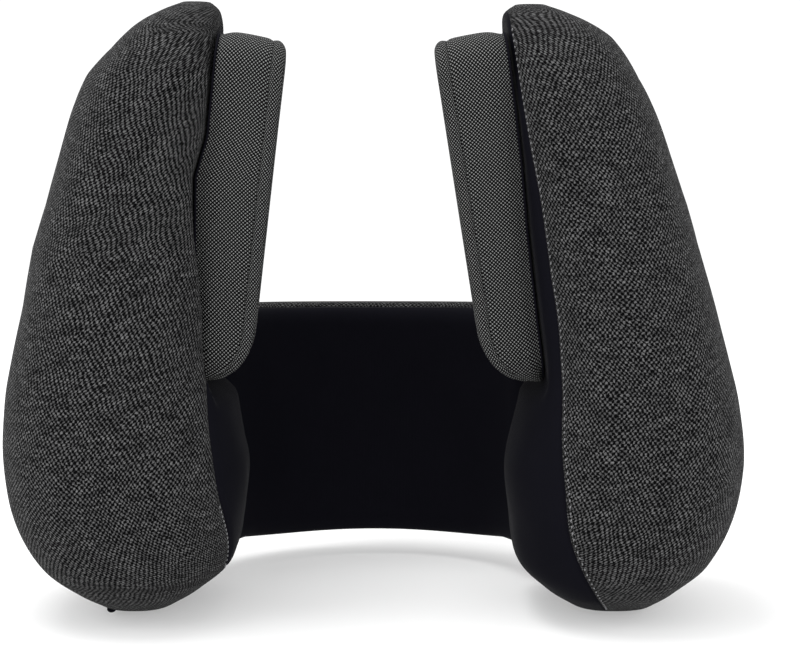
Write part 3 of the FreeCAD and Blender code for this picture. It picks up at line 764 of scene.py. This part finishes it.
# %% [markdown]
# ## Pads
# A pad is a boxed cushion: a back, a band of cloth round the edge called the gusset, and a face that puffs
# over the foam. The seam between gusset and face sits a few millimetres short of the face. All panels share
# one rounded outline, so they are drawn as rings that start at the back, walk over the edge and shrink to the
# middle of the face.

# %% Pads
PAD_CORNER = 13.0
PAD_STRIP = 3.8  # from the gusset seam to the face
PAD_DEPTHS = {1: 22.8, -1: 20.0}  # from the wing to the face, at the foot
PAD_WIDENS = {1: 3.2, -1: 5.6}  # how much deeper the pad is at its top
PAD_TOES_IN = {1: 2.6, -1: 5.2}  # how much less deep it is at the back
PAD_TAPER = 1.5  # how much shorter the gusset is at its seam
PAD_RING = 260  # points round a pad
PAD_SPINE = 34.0  # the face shrinks to a line that ends this far from the pad's foot and top
HEEL_HEIGHT = 21.0  # the face is rounded away at the foot over this height, by this depth
HEEL_DEPTH = 16.0
STRIP_ROLL = 2.8  # how far the strip rolls in on its way to the face, and more at the top
TOP_ROLL = 2.0
CROWN = 0.8  # how much the face's middle stands over its rim
STRIP_PULL = 1.7  # the strip's weave is gathered where it turns the edge
GUSSET_ROWS = 22
STRIP_ROWS = 9
GUSSET_WIDTH = 22.0  # near enough, for the dips at its two seams
GUSSET_BELLY = 0.55  # how far it bulges between them
BACK_DIP = (1.9, 4.2)
FACE_DIP = (0.9, 1.5)
STRIP_DIP = (0.9, 0.9)


def pad_outline():
    """The pad's outline seen from the head, the same distance between points: y and height up the pad."""
    outline = rounded_outline(PAD_FRONT, PAD_BACK, 0.0, PAD_HEIGHT, PAD_CORNER)
    return evenly(np.concatenate([outline, outline[:1]]), PAD_RING, closed=True)


def pad_depth(points, side):
    """How far the face stands off the wing: rounded away at the heel, and less towards the back."""
    y, height = points[..., 0], points[..., 1]
    heel = np.clip(1 - height / HEEL_HEIGHT, 0, 1)
    depth = PAD_DEPTHS[side] + PAD_WIDENS[side] * height / PAD_HEIGHT
    depth = depth - PAD_TOES_IN[side] * (y - PAD_FRONT) / (PAD_BACK - PAD_FRONT)
    return depth - HEEL_DEPTH * (1 - np.sqrt(1 - heel ** 2))


def ring_points(outline, depth, shrink=0.0, inset=0.0, taper=0.0):
    """One ring: the outline drawn towards the pad's middle line, at that depth."""
    y, z = outline[:, 0], outline[:, 1]
    spine_z = np.clip(z, PAD_SPINE, PAD_HEIGHT - PAD_SPINE)
    to_spine = np.stack([(PAD_FRONT + PAD_BACK) / 2 - y, spine_z - z], axis=-1)
    reach = np.linalg.norm(to_spine, axis=-1, keepdims=True)
    moved = outline + to_spine * shrink + to_spine / np.maximum(reach, 1e-6) * inset * (1 - shrink)
    moved[:, 1] -= PAD_TAPER * taper * smooth_step(z, PAD_HEIGHT * 0.5, PAD_HEIGHT)
    return np.concatenate([-np.broadcast_to(depth, z.shape)[:, None], moved], axis=-1)


def pad_rows(side, inset=0.0):
    """Rings of the gusset, then of the face."""
    outline = pad_outline()
    raised = np.array([0.0, 2 * inset])     # a core's heel starts higher up, where the cloth leaves it room
    full = pad_depth(outline - raised, side) - inset
    root = inset - sunk(outline[:, 1], side)
    seam = np.maximum(full - PAD_STRIP, root + 0.6)
    full = np.maximum(full, seam + 0.6)
    roll = STRIP_ROLL + TOP_ROLL * smooth_step(outline[:, 1:], PAD_HEIGHT - 16, PAD_HEIGHT)
    gusset = []
    for share in np.linspace(0, 1, GUSSET_ROWS):
        belly = GUSSET_BELLY * math.sin(math.pi * share) ** 0.7
        pinch = drawn_in((1 - share) * GUSSET_WIDTH, FACE_DIP) + drawn_in(share * GUSSET_WIDTH, BACK_DIP)
        gusset.append(ring_points(outline, root + (seam - root) * share, 0.0,
                                  inset - belly + pinch + 0.4, share))
    face = []
    for share in np.linspace(0, 1, STRIP_ROWS):
        angle = share * math.pi / 2
        pinch = drawn_in(share * PAD_STRIP, STRIP_DIP)
        face.append(ring_points(outline, seam + (full - seam) * math.sin(angle), 0.0,
                                inset + pinch + roll * (1 - math.cos(angle)) - 0.1, 1.0))
    rim = face[-1][:, 1:]
    for share in np.linspace(0.04, 1, 22):
        ring = ring_points(rim, full, share)
        level = np.maximum(pad_depth(ring[:, 1:] - raised, side) - inset, full * 0.5)
        follow = smooth_step(share, 0.0, 0.35)
        swell = CROWN * math.sin(share * math.pi / 2)
        ring[:, 0] = -(full + (level - full) * follow) - swell
        face.append(ring)
    return np.stack(gusset), np.stack(face)


def in_place(grid, side):
    """Pad points on their wing, the left-hand ones mirrored."""
    return show_grid(side, from_pad(grid))


def pad(side):
    gusset, face = pad_rows(side)
    walked = lengths_along(closed_rings(gusset[:1])[0])
    across = closed_rings(lengths_along(gusset))
    gusset_flat = np.stack([np.broadcast_to(walked, across.shape), across], axis=-1)
    strip = closed_rings(lengths_along(face))
    ring_flat = np.stack([np.broadcast_to(walked, strip.shape), strip * STRIP_PULL + across[-1:]], axis=-1)
    on_edge = np.arange(len(face))[:, None, None] < STRIP_ROWS - 2
    face_flat = np.where(on_edge, ring_flat, closed_rings(face[..., 1:]))
    made = []
    for grid, flat, stem in ((gusset, gusset_flat, "pad_gusset"), (face, face_flat, "pad_face")):
        piece = cloth_piece(body_name(stem + "_cloth", side), in_place(grid, side), flat[:, ::side], "pad_weave",
                            ring=True, thickness=PAD_CLOTH)
        made.append(stand_in(piece, body_name(stem, side), body_name("pad", side)))
    return made


pads = {side: pad(side) for side in SIDES}
print("pads:", [piece.name for pair in pads.values() for piece in pair])

# %% [markdown]
# ## Neck band
# The band is a padded strap of constant section bent round the neck. Its front is jersey and its back knit,
# joined along the upper edge so that a thin grey rim of knit shows over the black. The section is walked once
# and swept round the arc, and each end narrows into a rounded nose that disappears in its wing, where the
# steel hinge is.

# %% Neck band
BAND_INNER = 62.0
BAND_THICK = 24.0
BAND_MIDDLE = BAND_INNER + BAND_THICK / 2
BAND_LOW, BAND_HIGH = 10.0, 115.0
BAND_CORNER = 9.0
BAND_TURN = math.radians(72.0)
MEETS_WING = math.radians(57.0)
BAND_RISE = 2.3  # the upper edge climbs this much by the time it reaches the wings
BAND_LIFT = 2.8  # and the lower edge climbs this much close to them
TOP_SEAM = math.radians(61.0)  # where the seams lie on their round corners
BOTTOM_SEAM = math.radians(75.0)
BAND_DIP = (0.7, 2.0)  # how deep and how far from them they draw the cloth in
NOSE = 12.0  # how far each end runs on into its wing


def band_section(start, end, count, inset=0.0):
    """Points of the band's section between two walked distances: distance from its middle, and height."""
    half = BAND_THICK / 2
    outline = rounded_outline(-half, half, BAND_LOW, BAND_HIGH, BAND_CORNER, inset, 31)
    outline = np.roll(outline, 31, axis=0)
    outline = np.concatenate([outline, outline[:1]])
    return at_lengths(outline, np.linspace(start, end, count) % lengths_along(outline)[-1])


def seam_walks():
    """Where the two seams lie on the walk round the section, and the whole walk."""
    tall = BAND_HIGH - BAND_LOW - 2 * BAND_CORNER
    whole = 2 * math.pi * BAND_CORNER + 2 * (BAND_THICK - 2 * BAND_CORNER + tall)
    return BOTTOM_SEAM * BAND_CORNER, whole - tall - TOP_SEAM * BAND_CORNER, whole


def band_columns():
    """Middle points, outward directions and narrowing along the band, nose to nose."""
    steps = np.sin(np.linspace(0, math.pi / 2, 9)[1:])
    along = np.linspace(-BAND_TURN, BAND_TURN, 150)
    turns = np.concatenate([along[:1].repeat(len(steps)), along, along[-1:].repeat(len(steps))])
    ahead = np.concatenate([-steps[::-1], 0 * along, steps])
    outwards = np.stack([np.sin(turns), np.cos(turns)], axis=-1)
    forwards = np.stack([np.cos(turns), -np.sin(turns)], axis=-1)
    middles = BAND_MIDDLE * outwards + forwards * ahead[:, None] * NOSE
    return middles, outwards, np.sqrt(np.maximum(1 - ahead ** 2, 0.0))


def band_grid(section):
    """The section swept along the band, a row for each of its points."""
    middles, outwards, narrowing = band_columns()
    offset, height = section[:, :1], section[:, 1:]
    spots = middles[None] + outwards[None] * (offset * narrowing[None])[..., None]
    aside = np.clip(np.abs(middles[:, 0]) / BAND_MIDDLE / math.sin(MEETS_WING), 0, 1.2)
    share = (height - BAND_LOW) / (BAND_HIGH - BAND_LOW)
    z = height + share ** 2 * BAND_RISE * aside ** 2 + (1 - share) ** 3 * BAND_LIFT * np.minimum(aside, 1.0) ** 5
    return np.concatenate([spots, z[..., None]], axis=-1)


def band():
    bottom, top, whole = seam_walks()
    parts = (("band_jersey", "black_jersey", "band_jersey_cover", top, bottom + whole, 90),
             ("band_knit", "heather_knit", "band_knit_cover", bottom, top, 110))
    grids = []
    for name, finish, node, start, end, rows in parts:
        section = band_section(start, end, rows)
        walked = lengths_along(section)
        dip = drawn_in(np.minimum(walked, walked[-1] - walked), BAND_DIP)
        toward = np.array([0.0, (BAND_LOW + BAND_HIGH) / 2]) - section
        toward[:, 1] = np.clip(toward[:, 1], -12, 12)
        toward /= np.maximum(np.linalg.norm(toward, axis=1, keepdims=True), 1e-6)
        grid = band_grid(section + toward * dip[:, None])[:, ::-1]
        piece = cloth_piece(name, grid, centred(flat_places(grid)), finish, thickness=COVER_CLOTH)
        stand_in(piece, node, "root")
        grids.append(grid)
    return grids


band_grids = band()
print("band cloths:", [grid.shape[:2] for grid in band_grids])

# %% [markdown]
# ## Foam inside
# Under the cloth each part is solid foam. Only a gap or an open zip would show it, but a cover with nothing
# inside is not a cushion, so every core is the same form as its cover drawn a couple of millimetres smaller.

# %% Foam cores
CORE_GAP = 2.6


def closed_core(name, grid, body, node):
    piece = cloth_piece(name, grid, flat_places(grid, ring=True), "foam", ring=True)
    tidy_mesh(piece, close=True)
    stand_in(piece, node, body)


for side in SIDES:
    knit, jersey = wing_grids(side, CORE_GAP)
    joined = np.concatenate([knit, jersey[:, 1:-1]], axis=1)[::2, ::2]
    closed_core(body_name("wing_foam_core", side), show_grid(side, joined), body_name("wing", side),
                body_name("wing_foam", side))
    gusset, face = pad_rows(side, CORE_GAP)
    rings = np.concatenate([gusset[5:], face[1:]])[:, ::2]
    closed_core(body_name("pad_foam_core", side), in_place(rings, side), body_name("pad", side),
                body_name("pad_foam", side))

whole_walk = seam_walks()[2]
core_section = band_section(0.0, whole_walk, 120, CORE_GAP)[:-1]
core_half = BAND_THICK / 2 - CORE_GAP
core_section[:, 0] *= core_half / (core_half + 0.4)
without_noses = slice(8, -8)
core_grid = band_grid(core_section).transpose(1, 0, 2)[without_noses]
closed_core("band_foam_core", core_grid, "root", "band_foam")

# %% [markdown]
# ## Seams, piping and the pad's back
# A seam is read by what sits in it: a thin cord where the pad's gusset meets its face, and along the wings
# the small pale loops the overlocker leaves on the cut edge of the knit. Both are swept or set along rows the
# cloth already has.

# %% Cords and stitches
PIPING_RADIUS = 0.55
TAPE_CORNER = 5.0


def tube_rows(line, radius, sides=8):
    """A tube round a closed line of points, as a grid of rings."""
    tangent = np.roll(line, -1, axis=0) - np.roll(line, 1, axis=0)
    tangent /= np.linalg.norm(tangent, axis=1, keepdims=True)
    first = np.cross(tangent, np.array([1.0, 0.15, 0.05]))
    first /= np.linalg.norm(first, axis=1, keepdims=True)
    second = np.cross(tangent, first)
    angles = np.linspace(0, 2 * math.pi, sides, endpoint=False)[None, :, None]
    rings = line[:, None] + radius * (first[:, None] * np.cos(angles) + second[:, None] * np.sin(angles))
    return np.concatenate([rings, rings[:1]])


def piping(side):
    outline = pad_outline()
    depth = pad_depth(outline, side) - PAD_STRIP
    line = in_place(ring_points(outline, depth, 0.0, 0.75, 1.0)[None], side)[0]
    rings = tube_rows(line, PIPING_RADIUS)
    piece = cloth_piece(body_name("pad_seam_cord", side), rings, flat_places(rings, ring=True), "piping",
                        ring=True)
    stand_in(piece, body_name("pad_piping", side), body_name("pad", side))


def pad_back(side):
    outline = pad_outline()
    rings = np.stack([ring_points(outline, 0.2 - sunk(outline[:, 1], side) * (1 - share), share, 0.4)
                      for share in np.linspace(1, 0, 12)])
    piece = cloth_piece(body_name("pad_back_cloth", side), in_place(rings, side), closed_rings(rings[..., 1:]),
                        "black_jersey", ring=True, thickness=BACKING)
    stand_in(piece, body_name("pad_back", side), body_name("pad", side))


def tape_patch(name, side, node, depth, body, low, high, front, back):
    """A flat rounded patch of hook or loop tape in the pad's frame."""
    outline = rounded_outline(front, back, low, high, TAPE_CORNER, steps=9)
    outline = np.concatenate([np.full((len(outline), 1), depth), outline], axis=1)
    centre = np.array([depth, (front + back) / 2, (low + high) / 2])
    rings = np.stack([centre + (outline - centre) * share for share in (0.02, 0.35, 0.7, 1.0)])
    piece = cloth_piece(name, in_place(rings, side), closed_rings(rings)[..., 1:], "hook_and_loop", ring=True,
                        thickness=BACKING)
    stand_in(piece, node, body)


def bead(work, middle, axes, subdivisions=1):
    """Adds a small ellipsoid with those half axes, in mm."""
    made = bmesh.ops.create_icosphere(work, subdivisions=subdivisions, radius=1.0)
    for vert in made["verts"]:
        x, y, z = vert.co
        vert.co = (middle + axes[0] * x + axes[1] * y + axes[2] * z) * MM


def beads(name, work, finish, body):
    """Turns the beads in work into one piece on that body."""
    mesh = bpy.data.meshes.new(name)
    work.to_mesh(mesh)
    work.free()
    mesh.uv_layers.new(name="cloth")
    piece = dressed(name, mesh, finish)
    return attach(piece, body)


def stitches(name, line, outward, size, pitch, body, jitter=0.2):
    """Small raised loops set along a line of points."""
    walked = lengths_along(line)
    whole = walked[-1]
    rng = np.random.default_rng(7)
    work = bmesh.new()
    for place in np.arange(pitch / 2, whole, pitch):
        spot = at_lengths(line, place)
        ahead = at_lengths(line, min(place + 0.5, whole)) - spot
        if np.linalg.norm(ahead) < 1e-6:
            continue
        ahead = Vector(ahead).normalized()
        lift = Vector([np.interp(place, walked, outward[:, k]) for k in range(3)]).normalized()
        aside = ahead.cross(lift).normalized()
        slant = (ahead * 0.9 + aside * (0.45 + rng.uniform(-jitter, jitter))).normalized()
        length = size[0] * rng.uniform(0.8, 1.15)
        bead(work, Vector(spot), (slant * length, slant.cross(lift).normalized() * size[1], lift * size[2]))
    return beads(name, work, "overlock", body)


# Patch, node, depth in the pad's frame, body, and how far it reaches: low, high, front, back.
HOOK_AND_LOOP = (("hook_tape", "pad_hook_patch", 0.9, "pad", (22.0, 107.0, -50.0, -4.0)),
                 ("loop_tape", "wing_loop_patch", 1.9, "wing", (20.0, 121.0, -52.0, -2.0)))
OVERLOCK_TO = {1: 0.93, -1: 0.25}  # share of the seam, from the foot, on which the loops can be seen
OVERLOCK_SIZE = (0.70, 0.36, 0.30)
OVERLOCK_PITCH = 2.6
for side in SIDES:
    piping(side)
    pad_back(side)
    for stem, node, depth, body, reach in HOOK_AND_LOOP:
        tape_patch(body_name(stem, side), side, body_name(node, side), depth, body_name(body, side), *reach)
    knit_grid = wings[side][0]
    edge = 1 if side > 0 else knit_grid.shape[1] - 2
    rows = slice(CAP_STEPS + 6, CAP_STEPS + int(WING_ROWS * OVERLOCK_TO[side]))
    line = knit_grid[rows, edge]
    lift = outward_normals(knit_grid, knit_grid.reshape(-1, 3).mean(axis=0))[rows, edge]
    stitches(body_name("wing_overlock", side), line + lift * 0.25, lift, OVERLOCK_SIZE, OVERLOCK_PITCH,
             body_name("wing", side))
print("seams and tapes done")


def foot_tab():
    """A short end of seam tape that peeps out under the left wing's foot."""
    work = bmesh.new()
    axes = (Vector((1.9, 0, 0)), Vector((0, 3.5, 0)), Vector((0, 0, 1.4)))
    bead(work, Vector((-104.4, -50.0, 2.5)), axes, subdivisions=3)
    return beads("foot_tab_left", work, "black_jersey", "wing_left")


foot_tab()

# %% [markdown]
# ## Chair strap and zip
# Behind the band a webbing strap with a side-release buckle holds the headrest to a chair, and a zip along
# the lower edge lets the cover off. Webbing is a thin woven ribbon, so it is a grid with a rib in its weave.
# The left strap stays with the band.

# %% Webbing
STRAP_RADIUS = 89.3  # the strap lies this far from the middle of the neck
STRAP_LOW, STRAP_HIGH = 50.0, 75.0
STRAP_ENDS = (9.5, 49.0)  # degrees from the middle of the back
TAB_RADIUS = 87.9  # the tabs that hold its ends lie under it
TAB_ENDS = (40.0, 50.0)
TAB_LOW, TAB_HIGH = 48.5, 76.5
TAB_SEWN = ((41.5, 48.0), (52.0, 73.0))  # where its box of stitches lies: degrees, then heights
ZIP_RADIUS = 86.9
ZIP_ENDS = (-50.0, 50.0)
ZIP_LOW, ZIP_HIGH = 24.0, 42.0
STRAP_CLOTH, TAB_CLOTH, ZIP_CLOTH = 1.2, 1.6, 0.7  # mm of webbing
UP = Vector((0.0, 0.0, 1.0))


def ribbon(name, radius, ends, low, high, thickness, node, rows=10, columns=60):
    """A curved webbing ribbon about the origin, between two angles from the back of the band."""
    turns = np.radians(np.linspace(max(ends), min(ends), columns))
    radii = radius - 0.25 * np.abs(np.linspace(-1, 1, rows))[:, None] ** 8
    x, y = radii * np.sin(turns), radii * np.cos(turns)
    z = np.broadcast_to(np.linspace(low, high, rows)[:, None], x.shape)
    grid = np.stack([x, y, z], axis=-1)
    piece = cloth_piece(name, grid, flat_places(grid), "webbing", thickness=thickness)
    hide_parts(node)
    return piece


right_strap, left_strap = (
    ribbon(body_name("chair_strap", side), STRAP_RADIUS, np.array(STRAP_ENDS) * side, STRAP_LOW, STRAP_HIGH,
           STRAP_CLOTH, body_name("strap", side)) for side in SIDES)
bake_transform(right_strap)
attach(left_strap, "root")
for side in SIDES:
    tab = ribbon(body_name("strap_tab", side), TAB_RADIUS, np.array(TAB_ENDS) * side, TAB_LOW, TAB_HIGH,
                 TAB_CLOTH, body_name("strap_anchor", side), columns=20)
    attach(tab, "root")
    (near, far), (low, high) = TAB_SEWN
    box = np.array([(near, low), (far, low), (far, high), (near, high), (near, low), (far, high), (near, high),
                    (far, low)])
    angles = np.radians(side * box[:, 0])
    path = evenly(np.stack([np.sin(angles), np.cos(angles), box[:, 1]], axis=1), 200)
    radial = path * np.array([1.0, 1.0, 0.0])
    radial /= np.linalg.norm(radial, axis=1, keepdims=True)
    path = radial * (STRAP_RADIUS + 0.05) + path * np.array([0.0, 0.0, 1.0])
    stitches(body_name("tab_stitches", side), path, radial, (0.9, 0.25, 0.2), 2.4, "root", 0.05)

tape = ribbon("zip_tape_cloth", ZIP_RADIUS, ZIP_ENDS, ZIP_LOW, ZIP_HIGH, ZIP_CLOTH, "zip_tape", columns=160)
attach(tape, "root")

TEETH_RADIUS = 88.15
TEETH_HEIGHT = 33.0
TOOTH = (0.42, 0.35, 1.6)


def zip_teeth():
    """Coil teeth: one small loop after another over the tape, on the hidden core that the model already has."""
    work = bmesh.new()
    for count, angle in enumerate(np.radians(np.arange(-48.6, 48.7, 0.72))):
        outward = Vector((math.sin(angle), math.cos(angle), 0.0))
        ahead = Vector((math.cos(angle), -math.sin(angle), 0.0))
        middle = outward * TEETH_RADIUS + UP * (TEETH_HEIGHT + (0.35 if count % 2 else -0.35))
        bead(work, middle, (ahead * TOOTH[0], outward * TOOTH[1], UP * TOOTH[2]))
    return beads("zip_teeth", work, "buckle_plastic", "root")


zip_teeth()
print("strap, tabs and zip done")

# %% [markdown]
# ## Hard parts
# Hinges, rivets, stiffeners and the buckle come straight from the engineering model. They only need their own
# finishes: moulded plastic with a slight grain, plated steel, and the dark enamel of the zip's slider.

# %% Finishes for the hard parts
def both(*stems):
    return [body_name(stem, side) for stem in stems for side in SIDES]


HARD = {
    "springy_plastic": ["band_spine", *both("wing_plate", "pad_board")],
    "hinge_steel": ["band_rivets", *both("band_hinge_leaf", "hinge_pin", "wing_hinge_leaf", "wing_rivets")],
    "buckle_plastic": ["buckle_socket", "buckle_plug", "strap_adjuster", "zip_coil"],
    "zip_metal": ["zip_stops", "zip_slider", "zip_pull"],
}
SOFT_EDGE = 0.15
for finish, names in HARD.items():
    for name in names:
        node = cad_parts[name]
        node.data.materials.clear()
        node.data.materials.append(finishes[finish])
        edge = node.modifiers.new("soft edge", "BEVEL")
        edge.width = SOFT_EDGE * MM
        edge.segments = 2
        edge.limit_method = "ANGLE"
print("hard parts finished:", sum(len(names) for names in HARD.values()))

# %% [markdown]
# ## Table and light
# A white table whose surface carries a painted glow, an emission that keeps the shadows on it pale. A
# big soft light hangs overhead and a weaker one stands at each side. The object is nearly black, so the side
# lights are what show its form: they graze the knit and draw the pale rim on the jersey.

# %% Table and light
WHITE = (1.0, 1.0, 1.0, 1.0)
TABLE = 6.0  # half its side, in metres
# painted glow: the table's surface emits this much light so that the shadows on it stay pale
TABLE_GLOW = 0.36
SKY = 1.12

dye = Dye("white_table")
tone = dye.blend(dye.noise(dye.place(), 1.5, 2.0), (0.62, 0.62, 0.62), (0.63, 0.63, 0.63))
mesh = bpy.data.meshes.new("table")
mesh.from_pydata([(-TABLE, -TABLE, 0), (TABLE, -TABLE, 0), (TABLE, TABLE, 0), (-TABLE, TABLE, 0)], [],
                 [(0, 1, 2, 3)])
floor = placed("table", mesh, (0.0, 3.0, 0.0))
floor.data.materials.append(dye.finish(Base_Color=tone, Roughness=0.9, Specular_IOR_Level=0.1,
                                       Emission_Color=WHITE, Emission_Strength=TABLE_GLOW))
floor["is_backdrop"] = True

world = bpy.data.worlds.new("studio")
world.use_nodes = True
background = world.node_tree.nodes["Background"]
background.inputs["Color"].default_value = WHITE
background.inputs["Strength"].default_value = SKY
bpy.context.scene.world = world


def soft_light(name, location, aim, size, power):
    data = bpy.data.lights.new(name, "AREA")
    data.shape = "RECTANGLE"
    data.size, data.size_y = size
    data.energy = power
    light = placed(name, data, location)
    light.rotation_euler = (Vector(aim) - Vector(location)).to_track_quat("-Z", "Y").to_euler()


soft_light("overhead", (-0.35, 0.05, 1.2), (0.0, 0.0, 0.1), (0.8, 0.8), 9.0)
soft_light("left", (-1.1, -0.7, 0.75), (0.0, 0.0, 0.12), (0.7, 0.9), 4.0)
soft_light("right", (1.1, -0.7, 0.75), (0.0, 0.0, 0.12), (0.7, 0.9), 3.0)
soft_light("front", (0.1, -1.6, 0.45), (0.0, 0.1, 0.05), (1.4, 0.5), 5.0)

# %% [markdown]
# ## How big it came out
# The box round everything shown, the table aside, is printed in millimetres.

# %% Size
low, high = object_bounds()
print("visual model, mm:", [round(v / MM, 1) for v in low], [round(v / MM, 1) for v in high])
